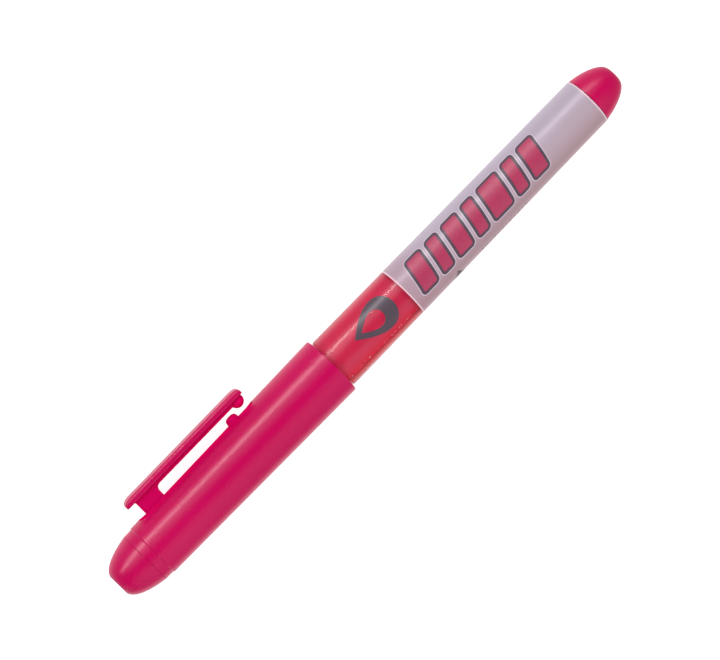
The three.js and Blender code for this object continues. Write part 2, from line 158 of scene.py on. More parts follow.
# A smooth step from 0 to 1 while x goes from low to high.
def smoothStep(low, high, x):
    t = np.clip((x - low) / (high - low), 0, 1)
    return t * t * (3 - 2 * t)


# Joins surfaces into one closed mesh and puts it on its body. A patch is a second finish, and a test that
# picks out the faces that have it.
def makePiece(name, surfaces, material, body, nodes=(), smoothAngle=32, patch=None):
    starts = np.cumsum([0] + [len(surface[0]) for surface in surfaces[:-1]])
    points = np.concatenate([surface[0] for surface in surfaces]) * mm
    quads = np.concatenate([surface[1] + start for surface, start in zip(surfaces, starts)])
    mesh = bpy.data.meshes.new(name)
    mesh.from_pydata(points.tolist(), [], quads.tolist())
    work = bmesh.new()
    work.from_mesh(mesh)
    bmesh.ops.remove_doubles(work, verts=work.verts, dist=1e-7)   # closes poles and seams
    bmesh.ops.recalc_face_normals(work, faces=work.faces)
    work.to_mesh(mesh)
    work.free()
    mesh.shade_smooth()
    mesh.set_sharp_from_angle(angle=math.radians(smoothAngle))
    mesh.materials.append(material)
    if patch:
        centres = np.empty(3 * len(mesh.polygons))
        mesh.polygons.foreach_get("center", centres)
        centres = centres.reshape(-1, 3) / mm
        mesh.materials.append(patch[0])
        mesh.polygons.foreach_set("material_index", patch[1](centres[:, 0], -centres[:, 1], centres[:, 2]))
    piece = bpy.data.objects.new(name, mesh)
    scene.collection.objects.link(piece)
    if body:
        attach(piece, body)
    if nodes:
        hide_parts(*nodes)
    return piece


def addNode(tree, kind, values=None, **settings):
    node = tree.nodes.new(kind)
    for key, value in settings.items():
        setattr(node, key, value)
    for key, value in (values or {}).items():
        if isinstance(value, bpy.types.NodeSocket):
            tree.links.new(value, node.inputs[key])
        else:
            node.inputs[key].default_value = value
    return node


# Short forms of the nodes that the finishes use most. Each gives back the output that is wanted.
def noise(tree, where, scale, detail=2.0, roughness=0.5, distortion=0.0):
    return addNode(tree, "ShaderNodeTexNoise", {
        "Vector": where, "Scale": scale, "Detail": detail, "Roughness": roughness,
        "Distortion": distortion}).outputs["Fac"]


def mapRange(tree, value, fromMin, fromMax, toMin=0.0, toMax=1.0, curve="LINEAR"):
    return addNode(tree, "ShaderNodeMapRange", {
        "Value": value, "From Min": fromMin, "From Max": fromMax, "To Min": toMin, "To Max": toMax},
        interpolation_type=curve).outputs[0]


def calculate(tree, operation, *values):
    return addNode(tree, "ShaderNodeMath", dict(enumerate(values)), operation=operation).outputs[0]


def mixColor(tree, factor, first, second):
    return addNode(tree, "ShaderNodeMix", {0: factor, 6: first, 7: second}, data_type="RGBA").outputs[2]


# A node group with coordinates and some numbers going in, and some numbers coming out.
def newGroup(name, numbers, outputs):
    tree = bpy.data.node_groups.new(name, "ShaderNodeTree")
    tree.interface.new_socket("Coordinates", in_out="INPUT", socket_type="NodeSocketVector")
    for title, value in numbers.items():
        tree.interface.new_socket(title, in_out="INPUT", socket_type="NodeSocketFloat").default_value = value
    for title in outputs:
        tree.interface.new_socket(title, in_out="OUTPUT", socket_type="NodeSocketFloat")
    return tree, tree.nodes.new("NodeGroupInput").outputs, tree.nodes.new("NodeGroupOutput").inputs


# Moulded skin: a fine ripple for the bump, and slow mottling for colour and gloss.
def makeMouldedSkin():
    tree, given, put = newGroup(
        "mouldedSkin", {"Grain Scale": 900.0, "Mottle Scale": 70.0}, ["Height", "Mottle"])
    ripple = noise(tree, given["Coordinates"], given["Grain Scale"], 3.0, 0.6)
    mottle = noise(tree, given["Coordinates"], given["Mottle Scale"], 2.0, 0.45)
    tree.links.new(calculate(tree, "MULTIPLY_ADD", mottle, 2.0, ripple), put["Height"])
    tree.links.new(mottle, put["Mottle"])
    return tree


# Handling: fine scratches, longer along the pen than across it, and rubbed edges.
def makeHandlingWear():
    tree, given, put = newGroup("handlingWear", {"Scratch Scale": 900.0}, ["Scratches", "Edges"])
    drawn = addNode(tree, "ShaderNodeMapping", {
        "Vector": given["Coordinates"], "Rotation": (0.3, 0.12, 0.2), "Scale": (0.12, 1.0, 1.0)})
    fine = noise(tree, drawn.outputs[0], given["Scratch Scale"], 5.0, 0.7)
    sharp = addNode(tree, "ShaderNodeNewGeometry").outputs["Pointiness"]
    rubbed = mapRange(tree, sharp, 0.53, 0.62)
    tree.links.new(mapRange(tree, fine, 0.6, 0.75, curve="SMOOTHSTEP"), put["Scratches"])
    tree.links.new(calculate(tree, "MULTIPLY", rubbed, fine), put["Edges"])
    return tree


# Bundled fibre: long streaks along X, for colour and bump, with a finer fuzz in the bump.
def makeFibreStreaks():
    tree, given, put = newGroup("fibreStreaks", {"Fibre Scale": 3500.0}, ["Streak", "Height"])
    drawn = addNode(tree, "ShaderNodeMapping", {"Vector": given["Coordinates"], "Scale": (0.06, 1.0, 1.0)})
    streak = noise(tree, drawn.outputs[0], given["Fibre Scale"], 4.0, 0.7)
    fuzz = noise(tree, given["Coordinates"], given["Fibre Scale"])
    tree.links.new(streak, put["Streak"])
    tree.links.new(calculate(tree, "ADD", streak, fuzz), put["Height"])
    return tree


mouldedSkin = makeMouldedSkin()
handlingWear = makeHandlingWear()
fibreStreaks = makeFibreStreaks()


def newMaterial(name, settings):
    material = bpy.data.materials.new(name)
    material.use_nodes = True
    tree = material.node_tree
    shader = tree.nodes["Principled BSDF"]
    for key, value in settings.items():
        shader.inputs[key].default_value = value
    where = tree.nodes.new("ShaderNodeTexCoord").outputs["Object"]
    return material, tree, shader, where


def addSkinAndWear(tree, where, grainScale=900.0):
    skin = addNode(tree, "ShaderNodeGroup", {"Coordinates": where, "Grain Scale": grainScale},
                   node_tree=mouldedSkin)
    wear = addNode(tree, "ShaderNodeGroup", {"Coordinates": where}, node_tree=handlingWear)
    return skin.outputs, wear.outputs


def addBump(tree, shader, height, strength, depth=2e-5):
    bump = addNode(tree, "ShaderNodeBump", {"Height": height, "Strength": strength, "Distance": depth})
    tree.links.new(bump.outputs[0], shader.inputs["Normal"])


# A moulded plastic: mottled between two near colours, with scratches that dull it and paler rubbed edges.
def mouldedPlastic(name, look, scratchDulling=0.05, mottleDulling=0.02):
    material, tree, shader, where = newMaterial(name, look["shader"])
    skin, wear = addSkinAndWear(tree, where, look["grainScale"])
    spread = mapRange(tree, skin["Mottle"], 0.25, 0.75, curve="SMOOTHSTEP")
    base = mixColor(tree, spread, look["colorA"], look["colorB"])
    edge = calculate(tree, "MULTIPLY", wear["Edges"], look["edgeWear"])
    tree.links.new(mixColor(tree, edge, base, look["edgeColor"]), shader.inputs["Base Color"])
    gloss = calculate(tree, "MULTIPLY_ADD", wear["Scratches"], scratchDulling, look["roughness"])
    tree.links.new(calculate(tree, "MULTIPLY_ADD", spread, mottleDulling, gloss), shader.inputs["Roughness"])
    addBump(tree, shader, skin["Height"], look["bump"])
    return material


capLook = {
    "colorA": (0.50, 0.001, 0.080, 1), "colorB": (0.515, 0.0012, 0.084, 1),
    "edgeColor": (0.72, 0.10, 0.22, 1), "edgeWear": 0.35, "roughness": 0.26, "grainScale": 1400.0,
    "bump": 0.1, "shader": {"IOR": 1.43},
}
# The pocket's colours are the cap's made lighter: painted light for the light that the clip keeps from the
# pocket.
pocketPaintedLightLook = {
    **capLook, "colorA": (0.58, 0.001, 0.095, 1), "colorB": (0.62, 0.002, 0.11, 1), "roughness": 0.6,
    "bump": 0.5, "shader": {"Specular IOR Level": 0.0},
}
# The rib's colours are lighter still: painted light for the light that the plate keeps from the rib.
ribPaintedLightLook = {**pocketPaintedLightLook, "colorA": (0.74, 0.001, 0.115, 1), "colorB": (0.78, 0.002, 0.13, 1)}
plugLook = {
    **capLook, "colorA": (0.50, 0.001, 0.076, 1), "colorB": (0.52, 0.0015, 0.080, 1), "roughness": 0.33,
    "shader": {"IOR": 1.37},
}
linerLook = {
    "colorA": (0.74, 0.66, 0.68, 1), "colorB": (0.78, 0.71, 0.73, 1), "edgeColor": (0.85, 0.8, 0.8, 1),
    "edgeWear": 0.2, "roughness": 0.45, "grainScale": 2200.0, "bump": 0.2, "shader": {"IOR": 1.51},
}
holderLook = {
    "colorA": (0.78, 0.76, 0.74, 1), "colorB": (0.82, 0.80, 0.78, 1), "edgeColor": (0.9, 0.88, 0.86, 1),
    "edgeWear": 0.2, "roughness": 0.4, "grainScale": 2200.0, "bump": 0.15, "shader": {"IOR": 1.5},
}
capPlastic = mouldedPlastic("capPlastic", capLook)
pocketPaintedLightPlastic = mouldedPlastic("pocketPaintedLightPlastic", pocketPaintedLightLook)
ribPaintedLightPlastic = mouldedPlastic("ribPaintedLightPlastic", ribPaintedLightLook)
plugPlastic = mouldedPlastic("plugPlastic", plugLook)
linerPlastic = mouldedPlastic("linerPlastic", linerLook)
holderPlastic = mouldedPlastic("holderPlastic", holderLook)


# Clear plastic: see-through, with faint scratches that dull it and slow ripples in its wall.
def clearPlastic(name, look, scratchDulling=0.03):
    material, tree, shader, where = newMaterial(name, look["shader"])
    skin, wear = addSkinAndWear(tree, where)
    tree.links.new(mixColor(tree, skin["Mottle"], look["colorA"], look["colorB"]),
                   shader.inputs["Base Color"])
    gloss = calculate(tree, "MULTIPLY_ADD", wear["Scratches"], scratchDulling, look["roughness"])
    tree.links.new(gloss, shader.inputs["Roughness"])
    addBump(tree, shader, skin["Height"], look["bump"])
    return material


barrelLook = {
    "colorA": (0.96, 0.80, 0.83, 1), "colorB": (0.97, 0.83, 0.86, 1), "roughness": 0.2, "bump": 0.002,
    "shader": {"Transmission Weight": 1.0, "IOR": 1.35, "Specular IOR Level": 0.0, "Coat Weight": 0.7,
               "Coat Roughness": 0.34, "Coat IOR": 1.4},
}
sectionLook = {
    "colorA": (0.93, 0.76, 0.81, 1), "colorB": (0.95, 0.80, 0.85, 1), "roughness": 0.08, "bump": 0.02,
    "shader": {"Transmission Weight": 1.0, "IOR": 1.2, "Coat Weight": 1.0, "Coat Roughness": 0.1},
}
barrelPlastic = clearPlastic("barrelPlastic", barrelLook)
sectionPlastic = clearPlastic("sectionPlastic", sectionLook)


# Ink: a deep colour with slow swirls, painted a brighter red on its low side, painted light that makes up for
# the shade there. A dark line marks its level, and past it the bore is only wetted. The steps are distances
# from the level, in millimetres.
inkLook = {
    "colorA": (0.69, 0.024, 0.086, 1), "colorB": (0.74, 0.032, 0.106, 1), "swirlScale": 60.0,
    # The low side's colour is painted light: a brighter red that makes up for the shade on that side.
    "lowSidePaintedLight": (0.84, 0.012, 0.060, 1), "levelLine": (0.44, 0.004, 0.028, 1),
    "wetWall": (0.78, 0.050, 0.072, 1),
    "steps": ((-1.3, -0.2, "lowSidePaintedLight"), (-0.12, 0.0, "levelLine"), (0.0, 0.1, "wetWall")),
    "levelAngle": 170, "levelHeight": 4.10, "waviness": 0.12, "bump": 0.05,
    "shader": {"Roughness": 0.3, "IOR": 1.33, "Specular IOR Level": 0.2},
}


def makeInkLiquid(look):
    material, tree, shader, where = newMaterial("inkLiquid", look["shader"])
    swirl = noise(tree, where, look["swirlScale"], 3.0, distortion=1.2)
    deep = mixColor(tree, swirl, look["colorA"], look["colorB"])
    angle = math.radians(look["levelAngle"])
    side = addNode(tree, "ShaderNodeVectorMath", {0: where, 1: (0, -math.cos(angle), math.sin(angle))},
                   operation="DOT_PRODUCT").outputs["Value"]
    height = calculate(tree, "MULTIPLY_ADD", swirl, look["waviness"] * mm, side)
    level = look["levelHeight"] * mm
    for start, end, tint in look["steps"]:
        step = mapRange(tree, height, level + start * mm, level + end * mm)
        deep = mixColor(tree, step, deep, look[tint])
    tree.links.new(deep, shader.inputs["Base Color"])
    addBump(tree, shader, swirl, look["bump"])
    return material


inkLiquid = makeInkLiquid(inkLook)


filmSizes = {"thickness": 0.1, "edgeRounding": 0.03, "tailReach": 0.2}

# Printed film: pale lavender, tinted by the ink towards the window, with a bare strip at each end. It is
# painted cooler towards the clip and darker and warmer away from it: painted shade and painted reflected
# colour for how the light falls round the barrel. The side runs are across Y, and all lengths are
# millimetres.
filmLook = {
    "pale": (0.425, 0.33, 0.39, 1), "patchy": (0.435, 0.33, 0.395, 1), "cool": (0.415, 0.35, 0.43, 1),
    "warmShade": (0.385, 0.245, 0.275, 1), "tinted": (0.40, 0.23, 0.28, 1), "bare": (0.75, 0.50, 0.58, 1),
    "paintedShadeSides": ((0.5, -5.5, "cool"), (0.0, 4.0, "warmShade")), "tintLength": 12.0, "tintMost": 0.55,
    "bareLength": 0.3, "roughness": 0.34, "scratchDulling": 0.12, "bump": 0.08, "shader": {"IOR": 1.48},
}


def makeFilmPrint(look):
    material, tree, shader, where = newMaterial("filmPrint", look["shader"])
    skin, wear = addSkinAndWear(tree, where)
    axes = addNode(tree, "ShaderNodeSeparateXYZ", {0: where}).outputs
    paper = mixColor(tree, skin["Mottle"], look["pale"], look["patchy"])
    # painted shade and reflected colour, from the clip's side to the far side
    for low, high, tint in look["paintedShadeSides"]:
        paper = mixColor(tree, mapRange(tree, axes["Y"], low * mm, high * mm), paper, look[tint])
    near = mapRange(tree, axes["X"], (filmTo - look["tintLength"]) * mm, filmTo * mm,
                    toMax=look["tintMost"], curve="SMOOTHERSTEP")
    paper = mixColor(tree, near, paper, look["tinted"])
    first = (filmFrom + look["bareLength"] - filmSizes["tailReach"]) * mm
    last = (filmTo - look["bareLength"]) * mm
    ends = calculate(tree, "ADD", calculate(tree, "LESS_THAN", axes["X"], first),
                     calculate(tree, "GREATER_THAN", axes["X"], last))
    tree.links.new(mixColor(tree, ends, paper, look["bare"]), shader.inputs["Base Color"])
    gloss = calculate(tree, "MULTIPLY_ADD", wear["Scratches"], look["scratchDulling"], look["roughness"])
    tree.links.new(gloss, shader.inputs["Roughness"])
    addBump(tree, shader, skin["Height"], look["bump"])
    return material


filmPrint = makeFilmPrint(filmLook)


# Printing ink: flat colour with a slightly starved, speckled lay.
def printingInk(name, solid, starved, roughness=0.42):
    material, tree, shader, where = newMaterial(name, {"IOR": 1.48, "Roughness": roughness})
    speckle = noise(tree, where, 1500.0, 3.0, 0.65)
    tree.links.new(mixColor(tree, mapRange(tree, speckle, 0.55, 0.75), solid, starved),
                   shader.inputs["Base Color"])
    addBump(tree, shader, speckle, 0.05, 1e-5)
    return material


outlineInk = printingInk("outlineInk", (0.085, 0.055, 0.08, 1), (0.11, 0.07, 0.10, 1))
fillInk = printingInk("fillInk", (0.40, 0.033, 0.095, 1), (0.43, 0.05, 0.115, 1))
haloInk = printingInk("haloInk", (0.56, 0.46, 0.55, 1), (0.60, 0.50, 0.60, 1))
windowInk = printingInk("windowInk", (0.085, 0.062, 0.082, 1), (0.12, 0.068, 0.092, 1), 0.3)


# Fibre: streaked along the pen and soaked with ink.
def fibre(name, look):
    material, tree, shader, where = newMaterial(name, look["shader"])
    streaks = addNode(tree, "ShaderNodeGroup", {"Coordinates": where, "Fibre Scale": look["fibreScale"]},
                      node_tree=fibreStreaks).outputs
    tree.links.new(mixColor(tree, streaks["Streak"], look["colorA"], look["colorB"]),
                   shader.inputs["Base Color"])
    addBump(tree, shader, streaks["Height"], 0.5, 4e-5)
    return material


nibFibre = fibre("nibFibre", {
    "colorA": (0.52, 0.01, 0.09, 1), "colorB": (0.70, 0.05, 0.17, 1), "fibreScale": 4200.0,
    "shader": {"Roughness": 0.8, "IOR": 1.4, "Sheen Weight": 0.25}})
rodFibre = fibre("rodFibre", {
    "colorA": (0.58, 0.05, 0.13, 1), "colorB": (0.78, 0.28, 0.36, 1), "fibreScale": 5200.0,
    "shader": {"Roughness": 0.75, "IOR": 1.4}})


# Comb plastic: white, stained by ink round its hub. The stain fades between two distances from the axis,
# which are measured with the drift added.
combLook = {
    "clean": (0.80, 0.76, 0.76, 1), "stained": (0.66, 0.07, 0.16, 1), "stainFull": 2.4, "stainNone": 3.6,
    "drift": 0.8, "driftScale": 400.0, "bump": 0.1, "shader": {"Roughness": 0.35, "IOR": 1.5},
}


def makeCombPlastic(look):
    material, tree, shader, where = newMaterial("combPlastic", look["shader"])
    across = addNode(tree, "ShaderNodeVectorMath", {0: where, 1: (0, 1, 1)}, operation="MULTIPLY")
    reach = addNode(tree, "ShaderNodeVectorMath", {0: across.outputs[0]}, operation="LENGTH")
    drift = noise(tree, where, look["driftScale"], 3.0)
    edge = calculate(tree, "MULTIPLY_ADD", drift, look["drift"] * mm, reach.outputs["Value"])
    stain = mapRange(tree, edge, look["stainFull"] * mm, look["stainNone"] * mm, 1.0, 0.0)
    tree.links.new(mixColor(tree, stain, look["clean"], look["stained"]), shader.inputs["Base Color"])
    addBump(tree, shader, drift, look["bump"])
    return material


combPlastic = makeCombPlastic(combLook)


# A bubble against the wall: a pale colour, slightly uneven, that is a painted highlight for the glint of
# light off it.
def makeBubbleGlint():
    material, tree, shader, where = newMaterial("bubbleGlint", {"Roughness": 0.05, "IOR": 1.3})
    tint = mixColor(tree, noise(tree, where, 900.0), (0.78, 0.25, 0.32, 1), (0.9, 0.5, 0.55, 1))
    tree.links.new(tint, shader.inputs["Base Color"])
    return material


bubbleGlint = makeBubbleGlint()
print("finishes made")


plugSizes = {
    "faceRadius": 1.7, "faceEdge": 0.25, "noseRun": 0.15, "noseFall": 2.0, "flankShare": 0.44,
    "flankFall": 0.5, "seam": 0.02, "spigotRadius": 4.25, "wall": 1.1, "ribs": 2, "ribHeight": 0.06,
    "ribHalf": 0.5, "edgeRounding": 0.12, "leadIn": 0.3, "leadLength": 0.8,
}


# Face, dome curve and base, then the spigot with its low ribs, and the hollow inside it.
def plugLine(size):
    base = barrelFrom - size["seam"]
    domeTo = base - size["edgeRounding"]
    dome = curveLine((plugFrom, size["faceRadius"]), (size["noseRun"], plugRadius - size["noseFall"]),
                     (base * size["flankShare"], plugRadius - size["flankFall"]), (domeTo, plugRadius), 40)
    spigot, hollow, half = size["spigotRadius"], size["spigotRadius"] - size["wall"], size["ribHalf"]
    ribs = []
    for n in range(size["ribs"]):
        at = base + (n + 1) * (plugTo - base) / (size["ribs"] + 1)
        ribs += [(at - half, spigot), (at, spigot + size["ribHeight"], 0.3), (at + half, spigot)]
    rest = roundedLine([
        (domeTo, plugRadius), (base, plugRadius, size["edgeRounding"]), (base, spigot, 0.05), *ribs,
        (plugTo - size["leadLength"], spigot), (plugTo, spigot - size["leadIn"], 0.15), (plugTo, hollow, 0.2),
        (base * 0.6, hollow, 1.2), (size["wall"] * 1.6, hollow * 0.6, 0.8), (size["wall"] * 1.3, 0)],
        closed=False)
    return np.concatenate([[(plugFrom, 0), (plugFrom, size["faceRadius"] - size["faceEdge"])], dome, rest])


makePiece("tailPlug", [turned(plugLine(plugSizes), wrapRows=False)], plugPlastic, "pen",
          ["tail_plug"])
print("tail plug done")


barrelSizes = {
    "tailRadius": 5.3, "tailWall": 0.95, "neckRadius": 5.3, "neckWall": 0.85, "seam": 0.3, "chamfer": 0.3,
    "filmDepth": 0.13, "filmGap": 0.1, "filmReach": 0.22, "beadAt": 5.0, "beadHeight": 0.1, "beadLength": 1.4,
    "seatStep": 0.25, "wetting": 0.03, "boreTaper": 0.1,
}
shoulderAt = rimAt - barrelSizes["seam"]


# The barrel's outside narrows evenly from the shoulder to the tail.
def barrelRadius(station, size=barrelSizes):
    share = (station - barrelFrom) / (shoulderAt - size["chamfer"] - barrelFrom)
    return size["tailRadius"] + (shoulderRadius - size["tailRadius"]) * share


# Its bore does so too, between the plug's seat and the front section's. The ink is drawn a hair larger than
# the bore there, so that nothing parts it from the wall.
def boreRadius(station, size=barrelSizes):
    share = (station - inkFrom) / (inkTo - inkFrom)
    return inkRadius - size["wetting"] + size["boreTaper"] * (np.clip(share, 0, 1) - 1)


# Outside with the film's seat, shoulder, neck and snap bead, then the bore with a seat at each end.
def barrelLine(size):
    neck, neckBore = size["neckRadius"], size["neckRadius"] - size["neckWall"]
    tailBore = size["tailRadius"] - size["tailWall"]
    bead, halfBead = shoulderAt + size["beadAt"], size["beadLength"] / 2
    seatFrom, seatTo = filmFrom - size["filmReach"], filmTo + size["filmGap"]
    deep, chamfer = size["filmDepth"], size["chamfer"]
    return roundedLine([
        (barrelFrom, tailBore, 0.2), (barrelFrom, size["tailRadius"], 0.03),
        (seatFrom, barrelRadius(seatFrom), 0.02), (seatFrom, barrelRadius(seatFrom) - deep, 0.02),
        (seatTo, barrelRadius(seatTo) - deep, 0.03), (seatTo, barrelRadius(seatTo), 0.04),
        (shoulderAt - chamfer, shoulderRadius, 0.2), (shoulderAt, shoulderRadius - chamfer, 0.1),
        (shoulderAt, neck, 0.05), (bead - halfBead, neck, 0.3), (bead, neck + size["beadHeight"], 0.5),
        (bead + halfBead, neck, 0.3), (mouthAt, neck, 0.2), (mouthAt, neckBore, 0.1),
        (inkTo + size["seatStep"], neckBore), (inkTo, boreRadius(inkTo)), (inkFrom, boreRadius(inkFrom)),
        (plugTo + size["seatStep"], boreRadius(inkFrom)), (plugTo, tailBore)])


makePiece("barrelTube", [turned(barrelLine(barrelSizes), 180)], barrelPlastic, "pen",
          ["barrel"])


# A thin tube that follows the barrel's skin.
def filmLine(size):
    thick, edge = size["thickness"], size["edgeRounding"]
    tail = filmFrom - size["tailReach"]
    return roundedLine([
        (tail, barrelRadius(tail) - thick), (tail, barrelRadius(tail), edge),
        (filmTo, barrelRadius(filmTo), edge), (filmTo, barrelRadius(filmTo) - thick)], steps=3)


makePiece("barrelFilm", [turned(filmLine(filmSizes), 180)], filmPrint, "pen", ["barrel_film"])
print("barrel and film done")


inkSizes = {
    "meniscus": 0.35, "rodHole": 1.05, "rodGap": 0.3,
    "bubbleStations": (77.3, 72.4, 66.4, 65.5, 64.4, 63.8, 62.2), "bubbleRadius": 0.2,
    "bubbleAngle": 141, "fineBubbles": 34, "fineRadius": (0.04, 0.1), "sunk": 0.2,
    "longBubble": (73.4, 0.22, 35, 5.0),   # its station, radius, angle past the others, and stretch
}


# The filled bore, wetting its wall, with a curved surface at each end and a hole for the feed rod.
def inkLine(size):
    station = np.linspace(inkFrom, inkTo, 60)
    wall = boreRadius(station) + barrelSizes["wetting"]
    rise = size["meniscus"]
    tail = curveLine((inkFrom + rise, 0), (inkFrom + rise, wall[0] * 0.6), (inkFrom + rise * 0.5, wall[0]),
                     (inkFrom, wall[0]), 16)
    holeEnd = rodFrom - size["rodGap"]
    front = [(inkTo, size["rodHole"]), (holeEnd, size["rodHole"]), (holeEnd, 0)]
    return np.concatenate([tail, np.stack([station, wall], -1), front])


# Small bubbles held against the wall, each a ball at its own station and angle. The long one is stretched
# along the pen.
def inkBubbles(size):
    rng = np.random.default_rng(7)
    along, outward, upward = ballRound(11, 16)
    balls = []
    places = [(at, size["bubbleRadius"] * rng.uniform(0.7, 1.1), rng.uniform(-1.5, 1.5), 1.0)
              for at in size["bubbleStations"]]
    places += [(rng.uniform(filmTo, rimAt - 1), rng.uniform(*size["fineRadius"]), rng.normal(0, 3), 1.0)
               for _ in range(size["fineBubbles"])]
    for station, radius, aside, stretch in places + [size["longBubble"]]:
        angle = math.radians(size["bubbleAngle"] + aside)
        height = boreRadius(station) - radius * size["sunk"]
        balls.append(grid(place(
            station + stretch * radius * along, height * math.cos(angle) + radius * outward,
            height * math.sin(angle) + radius * upward)))
    return balls


makePiece("inkCharge", [turned(inkLine(inkSizes), 128, wrapRows=False)], inkLiquid, "pen",
          ["ink"])
makePiece("inkBubbles", inkBubbles(inkSizes), bubbleGlint, "pen")
print("ink done")


sectionSizes = {
    "spigotRadius": 4.35, "boreRadius": 3.5, "flangeLength": 1.0, "gripStep": 0.2, "gripEndRadius": 4.45,
    "gripEnd": 12.2, "noseShoulder": 4.0, "shoulderRun": 1.6, "noseRadius": 3.8, "holderSeat": 2.75,
    "mouthGap": 0.1, "gripRings": 5, "ringsFromEnd": 1.0, "ringDepth": 0.12, "ringWidth": 0.5,
    "ringPitch": 1.1, "noseTaper": 0.1, "noseRounding": 0.7, "combStepFrom": 0.3, "combStepTo": 0.6,
}


# Spigot, flange, tapered grip with shallow rings, a curved shoulder and the rounded nose.
def sectionLine(size):
    flangeAt = mouthAt + size["mouthGap"]
    gripFrom = flangeAt + size["flangeLength"]
    gripTo = flangeAt + size["gripEnd"]
    landAt = gripTo + size["noseShoulder"]
    gripStart = flangeRadius - size["gripStep"]
    rings = []
    for n in range(size["gripRings"]):
        at = gripTo - size["ringsFromEnd"] - n * size["ringPitch"]
        skin = gripStart + (size["gripEndRadius"] - gripStart) * (at - gripFrom) / (gripTo - gripFrom)
        half = size["ringWidth"] / 2
        groove = [(at - half, skin, 0.15), (at, skin - size["ringDepth"], 0.2), (at + half, skin, 0.15)]
        rings = groove + rings
    outside = roundedLine([
        (sectionFrom, size["boreRadius"]), (sectionFrom, size["spigotRadius"], 0.15),
        (flangeAt, size["spigotRadius"]), (flangeAt, flangeRadius, 0.08), (gripFrom, flangeRadius, 0.08),
        (gripFrom + 0.1, gripStart, 0.05), *rings, (gripTo, size["gripEndRadius"])], closed=False)
    run = size["shoulderRun"]
    shoulder = curveLine((gripTo, size["gripEndRadius"]), (gripTo + run, size["gripEndRadius"] - 0.12),
                         (landAt - run, size["noseRadius"]), (landAt, size["noseRadius"]), 16)
    inside = roundedLine([
        (landAt, size["noseRadius"]), (noseEnd, size["noseRadius"] - size["noseTaper"], size["noseRounding"]),
        (noseEnd, size["holderSeat"], 0.1), (combTo + size["combStepTo"], size["holderSeat"], 0.1),
        (combTo + size["combStepFrom"], size["boreRadius"])], closed=False)
    return np.concatenate([outside, shoulder, inside])


makePiece("frontSection", [turned(sectionLine(sectionSizes), 144)], sectionPlastic, "pen",
          ["front_section"])

combSizes = {
    "fins": 12, "finThickness": 0.6, "hubRadius": 1.8, "bore": 1.05, "ventDepth": 1.2, "ventWidth": 0.6,
    "finRounding": 0.08,
}


# Hub and fins in one line, turned, with a straight vent: near the clip's side the radius is held down.
def combSurface(size):
    pitch = (combTo - combFrom - size["finThickness"]) / (size["fins"] - 1)
    corners = [(combFrom, size["bore"])]
    for n in range(size["fins"]):
        at, finEnd = combFrom + n * pitch, combFrom + n * pitch + size["finThickness"]
        root = [(at, size["hubRadius"], 0.1)] if n else []
        fin = [(at, combRadius, size["finRounding"]), (finEnd, combRadius, size["finRounding"])]
        gap = [(finEnd, size["hubRadius"], 0.1)] if n < size["fins"] - 1 else []
        corners += root + fin + gap
    line = roundedLine(corners + [(combTo, size["bore"])], steps=3)
    edge = math.asin(size["ventWidth"] / 2 / combRadius)
    past = edge * 1.04   # the vent's side wall stands between the edge and here
    angle = np.concatenate([[-past, -edge, 0, edge, past], np.linspace(past, 2 * math.pi - past, 92)[1:-1]])
    held = np.where(np.abs(angle) < (edge + past) / 2, combRadius - size["ventDepth"], combRadius)
    radius = np.minimum(line[:, 1:], np.maximum(held, size["hubRadius"]))
    return grid(place(line[:, :1], radius * np.cos(angle), radius * np.sin(angle)), True)


makePiece("inkComb", [combSurface(combSizes)], combPlastic, "pen", ["ink_collector"])
rodLine = roundedLine([(rodFrom, 0), (rodFrom, rodRadius, 0.12), (rodTo, rodRadius, 0.12), (rodTo, 0)],
                      closed=False)
makePiece("feedWick", [turned(rodLine, 48, wrapRows=False)], rodFibre, "pen", ["feed_rod"])

holderSizes = {"bore": 2.1, "sleeve": 2.65, "flangeTaper": 0.35, "flangeLength": 0.8}
holderLine = roundedLine([
    (holderFrom, holderSizes["bore"], 0.1), (holderFrom, holderSizes["sleeve"], 0.15),
    (holderTo - holderSizes["flangeLength"], holderSizes["sleeve"], 0.05),
    (holderTo - holderSizes["flangeLength"], holderRadius, 0.12),
    (holderTo, holderRadius - holderSizes["flangeTaper"], 0.15), (holderTo, holderSizes["bore"], 0.15)])
makePiece("nibHolder", [turned(holderLine, 96)], holderPlastic, "pen", ["nib_holder"])


nibSizes = {
    "chiselLength": 4.4, "edgeThickness": 1.3, "slant": 32, "edgeRounding": 0.22, "rearRounding": 0.25,
    "edgeDrawIn": (0.1, 0.35),   # how much the end shrinks across the edge and through it
}


